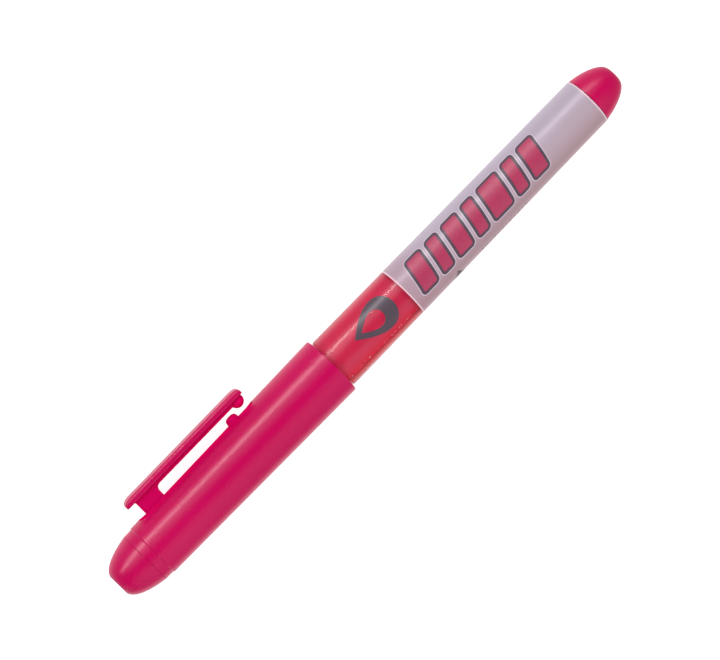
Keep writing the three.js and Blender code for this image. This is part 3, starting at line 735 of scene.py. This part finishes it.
# A round rod whose section is clipped top and bottom by two cheeks that close in towards the tip. Each
# line along it stops on a slanted plane, and the end is drawn in a little to round the writing edge.
def nibSurface(size):
    angle = fullTurn(96)
    clipSide, up = nibRadius * np.cos(angle), nibRadius * np.sin(angle)
    endPlane = nibTip - (clipSide + nibRadius) * math.tan(math.radians(size["slant"]))
    chiselAt = nibTip - size["chiselLength"]
    bodyFrom, bodyTo = nibFrom + size["rearRounding"], chiselAt - 0.2
    rear = np.linspace(0, 1, 5)[1:, None]
    shrink = 1 - size["rearRounding"] / nibRadius * (1 - np.sqrt(1 - (1 - rear) ** 2))
    rearRows = place(nibFrom + size["rearRounding"] * rear, clipSide * shrink, up * shrink)
    share = np.linspace(0, 1, 26)[1:, None]
    body = place(bodyFrom + (bodyTo - bodyFrom) * share, clipSide, up)
    station = bodyTo + (endPlane - size["edgeRounding"] - bodyTo) * share
    cheek = nibRadius + (size["edgeThickness"] / 2 - nibRadius) * np.clip(
        (station - chiselAt) / size["chiselLength"], 0, 1)
    chisel = place(station, clipSide, np.clip(up, -cheek, cheek))
    toEnd = np.linspace(0, 1, 6)[1:, None]
    acrossIn, throughIn = size["edgeDrawIn"]
    tip = place(endPlane - size["edgeRounding"] * (1 - toEnd), clipSide * (1 - acrossIn * toEnd ** 2),
                chisel[-1, :, 2] * (1 - throughIn * (1 - np.sqrt(1 - toEnd ** 2))))
    rearMiddle = place(nibFrom, 0 * clipSide, 0 * up)
    edgeLine = place(tip[-1, :, 0], -tip[-1, :, 1], 0 * clipSide)   # closes the writing edge
    return grid(np.concatenate([rearMiddle[None], rearRows, body, chisel, tip, edgeLine[None]]))


makePiece("nibFelt", [nibSurface(nibSizes)], nibFibre, "pen", ["nib"], smoothAngle=50)
print("writing end done")


capSizes = {
    "boreClearance": 0.15, "rimRounding": 0.35, "endBore": 4.75, "collarRadius": 5.69, "collarLength": 2.1,
    "collarStep": 0.18, "mouthLength": 10.0, "mouthStep": 0.15,
    "pocketDepth": 0.46, "pocketHalfWidth": 2.4, "pocketMargin": 0.15, "pocketEdge": 0.08,
    "nubRadius": 1.45, "nubHeight": 1.53, "nubFromFree": 5.0, "nubFoot": 0.12, "nubRounding": 1.25,
    "nubSunk": 0.3, "nubTaper": 0.25,
    "pips": 7, "pipPitch": 11, "pipMiddle": 80, "pipSize": (0.55, 0.3, 0.04), "pipFromRim": 2.5,
}
collarAt = crownAt - capSizes["collarLength"]
capEndRadius = capSizes["collarRadius"] + capSizes["collarStep"]
clipSizes = {
    "endAt": 125.5, "plate": 1.45, "ribDepth": 0.85, "ribWidth": 2.0, "edgeRounding": 0.75,
    "underRounding": 0.28, "ribRounding": 0.3, "overhang": 1.9, "postLength": 5.0, "postFillet": 1.0,
    "postRounding": 0.35, "postFoot": 0.3, "postSunk": 0.4, "postReach": 0.5, "ballRadius": 1.43,
    "ballFromFree": 1.82, "planCorner": 0.9, "planNarrow": 0.32, "endDrop": 0.95, "crownEndRun": 2.3,
    "freeEndRun": 2.7, "ribRun": 1.2, "ribEnd": 0.1,
}
clipHeights = {"plateLow": clipTop - clipSizes["plate"],
               "ribLow": clipTop - clipSizes["plate"] - clipSizes["ribDepth"]}


def capRadius(station):
    return capRimRadius - (capRimRadius - capEndRadius) * (station - rimAt) / (collarAt - rimAt)


# How far a point lies inside the pocket's outline, a bar with round ends, seen from the clip's side.
def insidePocket(station, up, size):
    half = size["pocketHalfWidth"]
    first = clipFreeAt - size["pocketMargin"] + half
    last = clipSizes["endAt"] - half
    past = station - np.clip(station, first, last)
    return half - np.hypot(past, up)


# The cap's wall is one closed line turned round the axis. On its outside, wherever the pocket's outline
# covers a point, the point sinks from the round surface to a flat floor parallel to it.
def capSurface(size):
    neck = barrelSizes["neckRadius"]
    bore = neck + size["boreClearance"]
    mouthEnd = rimAt + size["mouthLength"]
    pocketFrom = clipFreeAt - size["pocketMargin"]
    pocketTo = clipSizes["endAt"]
    fine, coarse, around = 0.09, 0.8, 0.3   # the mesh is fine around the pocket's round ends
    roundEnd = size["pocketHalfWidth"] + around
    lineFrom = rimAt + 0.5   # the line starts and ends in the bore, just inside the rim
    stations = np.concatenate([
        np.arange(rimAt + size["rimRounding"] + 0.1, pocketFrom - around, coarse),
        np.arange(pocketFrom - around, pocketFrom + roundEnd, fine),
        np.arange(pocketFrom + roundEnd, pocketTo - roundEnd, coarse / 2),
        np.arange(pocketTo - roundEnd, pocketTo + around, fine),
        np.arange(pocketTo + around, collarAt - 0.15, coarse / 2)])
    skin = np.stack([stations, capRadius(stations)], -1)
    rim = roundedLine([(lineFrom, bore), (rimAt, bore, 0.12), (rimAt, capRimRadius, size["rimRounding"]),
                       (stations[0], capRadius(stations[0]))], closed=False)[1:-1]
    collar = roundedLine([
        (collarAt - 0.1, capRadius(collarAt - 0.1)), (collarAt, capEndRadius, 0.08),
        (collarAt + size["collarStep"], size["collarRadius"], 0.08), (crownAt, crownRadius + 0.01, 0.07),
        (crownAt, size["endBore"], 0.05), (mouthEnd + size["mouthStep"], bore - size["mouthStep"], 0.1),
        (mouthEnd, bore, 0.1), (lineFrom, bore)], closed=False)
    line = np.concatenate([rim, skin, collar])
    outside = np.arange(len(line)) < len(rim) + len(skin) + 1
    pocketSide = 27   # degrees to each side of the clip that the pocket can reach
    angle = np.radians(np.concatenate([np.arange(-pocketSide, pocketSide, 0.5),
                                       np.linspace(pocketSide, 360 - pocketSide, 104, endpoint=False)]))
    station, radius = line[:, :1], line[:, 1:]
    clipSide, up = radius * np.cos(angle), radius * np.sin(angle)
    floor = capRadius(station) - size["pocketDepth"]
    depth = np.where(outside[:, None] & (clipSide > 0), np.maximum(clipSide - floor, 0), 0)
    cover = smoothStep(-size["pocketEdge"], size["pocketEdge"], insidePocket(station, up, size))
    return grid(place(station, clipSide - depth * cover, up), True)


# The nub on the pocket's floor: a line turned about a line through it towards the clip.
def nubSurface(size):
    at = clipFreeAt + size["nubFromFree"]
    floor = capRadius(at) - size["pocketDepth"]
    line = roundedLine([
        (-size["nubSunk"], size["nubRadius"]), (0.0, size["nubRadius"] + 0.02, size["nubFoot"]),
        (0.3, size["nubRadius"] - 0.04),
        (size["nubHeight"], size["nubRadius"] - size["nubTaper"], size["nubRounding"]),
        (size["nubHeight"], 0)], closed=False, steps=10)
    line = np.concatenate([[(-size["nubSunk"], 0)], line])
    turn = fullTurn(64)
    height, radius = line[:, :1], line[:, 1:]
    return grid(place(at + radius * np.cos(turn), floor + height, radius * np.sin(turn)))


# A rounded box outline, as a closed run of (along, across) points about its middle.
def roundedBox(halfLong, halfWide, rounding, steps=8):
    return roundedLine([(-halfLong, -halfWide, rounding), (halfLong, -halfWide, rounding),
                        (halfLong, halfWide, rounding), (-halfLong, halfWide, rounding)], steps=steps)


# The clip's post: a rounded box carried up from the pocket's floor. It flares at its foot, and on the
# rim's side its top opens in a quarter round that runs into the clip's rib.
def postSurface(size):
    postTo = size["endAt"] - size["overhang"]
    postFrom = postTo - size["postLength"]
    floor = capRadius(postFrom) - capSizes["pocketDepth"]
    top = clipHeights["ribLow"]
    foot = floor + size["postFoot"] * (1 - np.cos(np.linspace(0, math.pi / 2, 7)))
    shaft = np.linspace(floor + size["postFoot"], top - size["postFillet"], 5)[1:]
    fillet = top - size["postFillet"] * (1 - np.sin(np.linspace(0, math.pi / 2, 11)))[1:]
    height = np.concatenate([[floor - size["postSunk"]], foot, shaft, fillet, [top + size["postReach"]]])
    lowFlare = size["postFoot"] * (1 - np.sqrt(1 - np.clip(
        1 - (height - floor) / size["postFoot"], 0, 1) ** 2))
    rise = np.clip((height - top + size["postFillet"]) / size["postFillet"], 0, 1)
    highFlare = size["postFillet"] * (1 - np.sqrt(1 - rise ** 2))
    halfLong = size["postLength"] / 2 + lowFlare / 2 + highFlare / 2
    middle = (postFrom + postTo) / 2 - highFlare / 2
    halfWide = size["ribWidth"] / 2 - 0.03 + lowFlare * 0.7
    unit = roundedBox(size["postLength"] / 2, size["ribWidth"] / 2, size["postRounding"])
    along = unit[:, 0] / (size["postLength"] / 2)
    across = unit[:, 1] / (size["ribWidth"] / 2)
    rows = place(middle[:, None] + halfLong[:, None] * along, height[:, None] + 0 * along,
                 halfWide[:, None] * across)
    ends = [np.broadcast_to(row.mean(0), row.shape) for row in (rows[0], rows[-1])]
    return grid(np.concatenate([ends[0][None], rows, ends[1][None]]))


# Small raised dashes round the rim: squashed balls on the cap's skin.
def pipSurfaces(size):
    long, wide, high = size["pipSize"]
    at = rimAt + size["pipFromRim"]
    outward, along, aside = ballRound(9, 20)
    pips = []
    for n in range(size["pips"]):
        angle = math.radians(size["pipMiddle"] + (n - (size["pips"] - 1) / 2) * size["pipPitch"])
        angle = angle + wide * aside / capRadius(at)
        height = capRadius(at) - 0.02 + high * outward
        pips.append(grid(place(at + long / 2 * along, height * np.cos(angle), height * np.sin(angle))))
    return pips


# The pocket's floor and side, the nub and the post, which have a matt finish and a colour painted lighter
# than the cap's: painted light that makes up for the shade the clip casts there.
def inPocket(station, clipSide, up):
    return ((clipSide > 4.5) & (insidePocket(station, up, capSizes) > -0.03)).astype(np.int32)


makePiece("capBody", [capSurface(capSizes), nubSurface(capSizes), postSurface(clipSizes),
                      *pipSurfaces(capSizes)], capPlastic, "cap", ["cap_shell"],
          patch=(pocketPaintedLightPlastic, inPocket))
print("cap body done")

crownSizes = {
    "spigotRadius": 4.65, "wall": 0.96, "seam": 0.02, "edgeRounding": 0.07, "tipWall": 1.7,
    "hollowShoulder": 2.15, "domeInset": 0.56, "tipInset": 1.6, "tipRun": 0.5, "faceInset": 3.41,
    "faceEdge": 0.2,
}


# Spigot and seam, then the dome's curve to the flat tip, with a hollow that follows it inside.
def crownLine(size):
    seat = crownAt + size["seam"]
    hollow = size["spigotRadius"] - size["wall"]
    length = capTip - crownAt
    start = roundedLine([
        (capTip - size["tipWall"], 0), (capTip - size["hollowShoulder"], hollow * 0.6, 0.8),
        (crownAt + length * 0.3, hollow, 1.2),
        (crownSpigotFrom, hollow, 0.15), (crownSpigotFrom, size["spigotRadius"], 0.2),
        (seat, size["spigotRadius"], 0.05), (seat, crownRadius, size["edgeRounding"]),
        (seat + 0.2, crownRadius - 0.02)], closed=False)
    face = crownRadius - size["faceInset"]
    dome = curveLine((seat + 0.2, crownRadius - 0.02), (capTip - length / 2, crownRadius - size["domeInset"]),
                     (capTip - size["tipRun"], crownRadius - size["tipInset"]), (capTip, face), 40)
    return np.concatenate([start, dome[1:], [(capTip, face - size["faceEdge"]), (capTip, 0)]])


makePiece("capCrown", [turned(crownLine(crownSizes), wrapRows=False)], capPlastic, "cap",
          ["cap_crown"])

linerSizes = {"wall": 0.65, "lipRadius": 3.86, "lipLength": 1.2, "flangeStep": 0.1, "flangeLength": 1.0}


# A closed cup: a narrower lip that seals on the nose, the bore, and a low flange round its closed end.
def linerLine(size):
    outer = linerRadius - size["flangeStep"]
    bore = outer - size["wall"]
    lip, lipTo = size["lipRadius"], linerFrom + size["lipLength"]
    return roundedLine([
        (linerTo - size["wall"], 0), (linerTo - size["wall"], bore, 0.4),
        (lipTo + size["lipLength"], bore, 0.5), (lipTo, lip, 0.5), (linerFrom, lip, 0.2),
        (linerFrom, outer, 0.2), (linerTo - size["flangeLength"], outer, 0.05),
        (linerTo - size["flangeLength"], linerRadius, 0.05),
        (linerTo, linerRadius, 0.1), (linerTo, 0)], closed=False)


makePiece("capLiner", [turned(linerLine(linerSizes), 112, wrapRows=False)], linerPlastic, "cap",
          ["inner_cap"])
print("crown and liner done")


# Rings that draw in from a closed line to its middle, for a flat end face.
def endRings(line):
    rings = line + (line.mean(0) - line) * np.array([0.06, 0.25, 1.0])[:, None, None]
    rings[:, :, 0] = line[:, 0]
    return rings


# The clip's section, a plate with rounded edges over a rib, is carried along the pen. Towards each end
# the top falls in an elliptic curve and the plan narrows in a round, and past the post and the ball the
# rib shrinks up into the plate.
def clipSurface(size):
    half, rib = clipHalfWidth, size["ribWidth"] / 2
    section = roundedLine([
        (-rib, 0.0, size["ribRounding"]), (rib, 0.0, size["ribRounding"]), (rib, size["ribDepth"], 0.15),
        (half, size["ribDepth"], size["underRounding"]),
        (half, size["ribDepth"] + size["plate"], size["edgeRounding"]),
        (-half, size["ribDepth"] + size["plate"], size["edgeRounding"]),
        (-half, size["ribDepth"], size["underRounding"]), (-rib, size["ribDepth"], 0.15)], steps=6)
    across, height = section[:, 0], section[:, 1]
    endAt, freeAt = size["endAt"], clipFreeAt
    near = 1 - np.cos(np.linspace(0, math.pi / 2, 22))   # closer rows towards each end
    station = np.concatenate([
        freeAt + size["freeEndRun"] * near,
        np.linspace(freeAt + size["freeEndRun"], endAt - size["crownEndRun"], 90)[1:-1],
        (endAt - size["crownEndRun"] * near)[::-1]])[:, None]
    fromFree, fromEnd = station - freeAt, endAt - station
    # share of the end's curve still to go: 1 on the end itself, 0 where the plain clip starts
    goFree = np.clip(1 - fromFree / size["freeEndRun"], 0, 1)
    goEnd = np.clip(1 - fromEnd / size["crownEndRun"], 0, 1)
    drop = size["endDrop"] * (2 - np.sqrt(1 - goFree ** 4) - np.sqrt(1 - goEnd ** 2.6))
    corner = np.maximum(np.clip(1 - fromFree / size["planCorner"], 0, 1),
                        np.clip(1 - fromEnd / size["planCorner"], 0, 1))
    narrow = 1 - size["planNarrow"] * (1 - np.sqrt(1 - corner ** 2))
    ballAt = freeAt + size["ballFromFree"]
    ribTo = endAt - size["overhang"]
    ribThere = smoothStep(ballAt - size["ribRun"], ballAt, station) * (
        1 - smoothStep(ribTo - size["ribEnd"], ribTo + size["ribEnd"], station))
    inRib = height < size["ribDepth"] - 0.01
    low = np.where(inRib, size["ribDepth"] - (size["ribDepth"] - height) * ribThere, height)
    above = np.clip((height - size["ribDepth"]) / size["plate"], 0, 1)
    tall = low - drop * above
    rows = place(station + 0 * across, clipHeights["ribLow"] + tall, across * narrow)
    return grid(np.concatenate([endRings(rows[0])[::-1], rows, endRings(rows[-1])]))


# The ball below the clip's free end, with its axis towards the clip's side.
def ballSurface(size):
    at, radius = clipFreeAt + size["ballFromFree"], size["ballRadius"]
    outward, along, upward = ballRound(33, 64)
    return grid(place(at + radius * along, ballLow + radius + radius * outward, radius * upward))


# The rib and the ball below the plate, which are as matt as the pocket, with a colour painted lighter still:
# painted light that makes up for the shade of the plate over them.
def underPlate(station, clipSide, up):
    return (clipSide < clipHeights["plateLow"] - 0.02).astype(np.int32)


pocketClip = makePiece("pocketClip", [clipSurface(clipSizes), ballSurface(clipSizes)], capPlastic, None,
                       ["clip_arm"], patch=(ribPaintedLightPlastic, underPlate))
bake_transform(pocketClip)
print("clip done")


printSizes = {
    "markWidths": (3.4, 2.4, 3.4, 2.4, 4.6, 2.4, 3.4), "markGap": 0.82, "markTo": 56.2, "markHeight": 6.9,
    "lean": 0.2, "corner": 0.4, "outline": 0.6, "halo": 0.2, "middleAngle": 79, "lift": 0.012,
    "thickness": 0.01,
    "dropAt": 67.2, "dropLong": 10.6, "dropWide": 7.6, "dropStroke": 1.9,
    "ticks": 12, "tickFrom": 30.0, "tickPitch": 1.1, "tickAngle": 155, "tickSize": (0.75, 0.3),
    "wedgeAt": 48.7, "wedgeAngle": 154, "wedgeSize": (3.2, 1.4),
}


# Wraps flat (along, aside) points about a middle on to the barrel: the distance aside becomes an angle.
def wrapOn(along, aside, lift, middle):
    station = middle[0] + along
    radius = barrelRadius(station) + lift
    angle = math.radians(middle[1]) + aside / radius
    return place(station, radius * np.cos(angle), radius * np.sin(angle))


# A thin plate on the barrel between two outlines: top face, edge, lower face, edge.
def printedBand(outer, inner, lift, middle, steps=8):
    share = np.linspace(0, 1, steps)[:, None]
    along = outer[:, 0] + (inner[:, 0] - outer[:, 0]) * share
    aside = outer[:, 1] + (inner[:, 1] - outer[:, 1]) * share
    top = wrapOn(along, aside, lift, middle)
    under = wrapOn(along, aside, lift - printSizes["thickness"], middle)[::-1]
    return grid(np.concatenate([top, under]), True)


# Splits the long sides of a closed outline, so that it can bend round the barrel: a corner is repeated for
# each piece of its side, and moved along the side by that piece's share.
def divided(outline, longest=0.5):
    side = np.roll(outline, -1, 0) - outline
    count = np.maximum(1, (np.hypot(side[:, 0], side[:, 1]) / longest).astype(int))
    corner = np.repeat(np.arange(len(outline)), count)
    nth = np.arange(len(corner)) - (np.cumsum(count) - count)[corner]
    return outline[corner] + side[corner] * (nth / count[corner])[:, None]


# A leaning bar with round corners: a rounded box whose points shift along by a share of their height.
def leaningBar(halfLong, halfWide, corner, lean):
    bar = divided(roundedBox(halfLong, halfWide, corner))
    bar[:, 0] += lean * bar[:, 1]
    return bar


# A drop: round at one end, and drawn out towards the other by a sine of the half angle.
def dropOutline(long, wide):
    turn = fullTurn(120)
    return np.stack([long / 2 * np.cos(turn), wide / 2 * np.sin(turn) * np.sin(turn / 2) ** 1.2 * 1.28], -1)


def makePrinting(size):
    outlines, fills, halos = [], [], []
    edge = size["markTo"]
    tall = size["markHeight"] / 2
    for width in size["markWidths"]:
        at = (edge - size["outline"] - width / 2, size["middleAngle"])
        edge -= width + 2 * size["outline"] + size["markGap"]
        layers = ((halos, size["halo"] + size["outline"]), (outlines, size["outline"]), (fills, 0.0))
        for level, (plates, extra) in enumerate(layers, 1):
            bar = leaningBar(width / 2 + extra, tall + extra, size["corner"] + extra, size["lean"])
            plates.append(printedBand(bar, bar * 0, size["lift"] * level, at, 12))
    makePiece("filmHalo", halos, haloInk, "pen")
    makePiece("filmFill", fills, fillInk, "pen")
    drop = makePiece("windowDrop", [printedBand(
        dropOutline(size["dropLong"], size["dropWide"]),
        dropOutline(size["dropLong"] - 2.6 * size["dropStroke"], size["dropWide"] - 2 * size["dropStroke"])
        + [0.25 * size["dropStroke"], 0], size["lift"] * 2, (size["dropAt"], size["middleAngle"]))],
        windowInk, "pen")
    drop.visible_transmission = False   # light still reaches the ink behind it
    for n in range(size["ticks"]):
        long, wide = size["tickSize"]
        bar = leaningBar(long * (0.5, 0.3, 0.65, 0.4)[n % 4], wide / 2, 0.1, 0.0)
        at = (size["tickFrom"] + n * size["tickPitch"], size["tickAngle"])
        outlines.append(printedBand(bar, bar * 0, size["lift"], at, 3))
    long, wide = size["wedgeSize"]
    wedge = divided(roundedLine([(-long / 2, wide, 0.1), (0, -wide, 0.1), (long / 2, wide, 0.1)]), 0.3)
    outlines.append(printedBand(wedge, wedge * 0, size["lift"], (size["wedgeAt"], size["wedgeAngle"]), 6))
    makePiece("filmOutline", outlines, outlineInk, "pen")


makePrinting(printSizes)
print("printing done")


stageSizes = {"floorHalf": 3.0, "floorColor": (0.50, 0.50, 0.50, 1), "floorGlow": (0.82, 0.82, 0.82, 1)}


def makeFloor(size):
    half, level = size["floorHalf"], cadBox[0].z
    mesh = bpy.data.meshes.new("floor")
    mesh.from_pydata([(-half, -half, level), (half, -half, level), (half, half, level), (-half, half, level)],
                     [], [(0, 1, 2, 3)])
    floor = bpy.data.objects.new("floor", mesh)
    scene.collection.objects.link(floor)
    material = newMaterial("floorPaper", {
        "Roughness": 0.9, "Specular IOR Level": 0.1, "Base Color": size["floorColor"],
        "Emission Color": size["floorGlow"], "Emission Strength": 1.0})[0]
    mesh.materials.append(material)
    floor.visible_glossy = False


# Light panels lie parallel to the pen. Their angle is taken round the pen from the clip, as above.
lightPanels = {
    "stripLight": {"angle": 38, "distance": 0.55, "long": 1.3, "wide": 0.09, "watts": 3.4, "fill": False},
    "clipSide": {"angle": 47, "distance": 0.80, "long": 1.4, "wide": 0.66, "watts": 9.4, "fill": True},
    "farSide": {"angle": 140, "distance": 0.80, "long": 1.4, "wide": 0.86, "watts": 8.2, "fill": True},
}


def makeLights(panels):
    middle = Vector(((cadBox[0].x + cadBox[1].x) / 2, 0, 0))
    for name, panel in panels.items():
        data = bpy.data.lights.new(name, "AREA")
        data.shape, data.energy = "RECTANGLE", panel["watts"]
        data.size, data.size_y = panel["long"], panel["wide"]
        light = bpy.data.objects.new(name, data)
        scene.collection.objects.link(light)
        angle = math.radians(panel["angle"])
        out = Vector((0, -math.cos(angle), math.sin(angle)))
        along = Vector((1, 0, 0))
        turn = Matrix((along, out.cross(along), out)).transposed()
        light.matrix_world = Matrix.Translation(middle + out * panel["distance"]) @ turn.to_4x4()
        light.visible_camera = False
        light.visible_glossy = not panel["fill"]   # fills light the colour, the strip only the gloss
        light.visible_diffuse = panel["fill"]
        light.visible_transmission = panel["fill"]


# The room: it lights from dark straight up to dim at the horizon and pale below it. A camera sees it pale.
def makeRoom(zenith=0.0, horizon=0.1, below=0.8, seen=0.86):
    world = bpy.data.worlds.new("room")
    scene.world = world
    world.use_nodes = True
    tree = world.node_tree
    where = tree.nodes.new("ShaderNodeTexCoord").outputs["Generated"]
    height = addNode(tree, "ShaderNodeSeparateXYZ", {0: where}).outputs["Z"]
    level = calculate(tree, "ADD", mapRange(tree, height, 0.0, 0.6, horizon, zenith, "SMOOTHSTEP"),
                      mapRange(tree, height, -0.7, -0.1, below, 0.0, "SMOOTHSTEP"))
    path = addNode(tree, "ShaderNodeLightPath")
    plain = calculate(tree, "MULTIPLY", path.outputs["Is Camera Ray"], seen)
    shown = calculate(tree, "MAXIMUM", level, plain)
    tree.links.new(shown, tree.nodes["Background"].inputs["Strength"])
    tree.nodes["Background"].inputs["Color"].default_value = (1, 1, 1, 1)


# The camera stands over the cap's tip, leaning to the clip's side, and looks at the pen's middle.
cameraSizes = {
    "distance": 0.8, "lean": 10, "lookAt": 0.0698, "lookAside": 0.00081, "turn": 225.9, "lens": 209.1,
}


def makeCamera(size):
    lean = math.radians(size["lean"])
    out = Vector((0, -math.sin(lean), math.cos(lean)))
    aside = Vector((0, -math.cos(lean), -math.sin(lean)))
    spot = Vector((cadBox[1].x, 0, 0)) + out * size["distance"]
    forward = (Vector((size["lookAt"], 0, 0)) + aside * size["lookAside"] - spot).normalized()
    penWay = (Vector((1, 0, 0)) - forward * forward.x).normalized()
    across = (-forward).cross(penWay)
    turn = math.radians(size["turn"])
    right = penWay * math.cos(turn) - across * math.sin(turn)
    up = penWay * math.sin(turn) + across * math.cos(turn)
    data = bpy.data.cameras.new("camera")
    data.lens, data.clip_start, data.clip_end = size["lens"], 0.05, 20
    camera = bpy.data.objects.new("camera", data)
    scene.collection.objects.link(camera)
    camera.matrix_world = Matrix.Translation(spot) @ Matrix((right, up, -forward)).transposed().to_4x4()
    scene.camera = camera


makeFloor(stageSizes)
makeLights(lightPanels)
makeRoom()
makeCamera(cameraSizes)
scene.view_settings.view_transform = "Standard"
print("stage done")
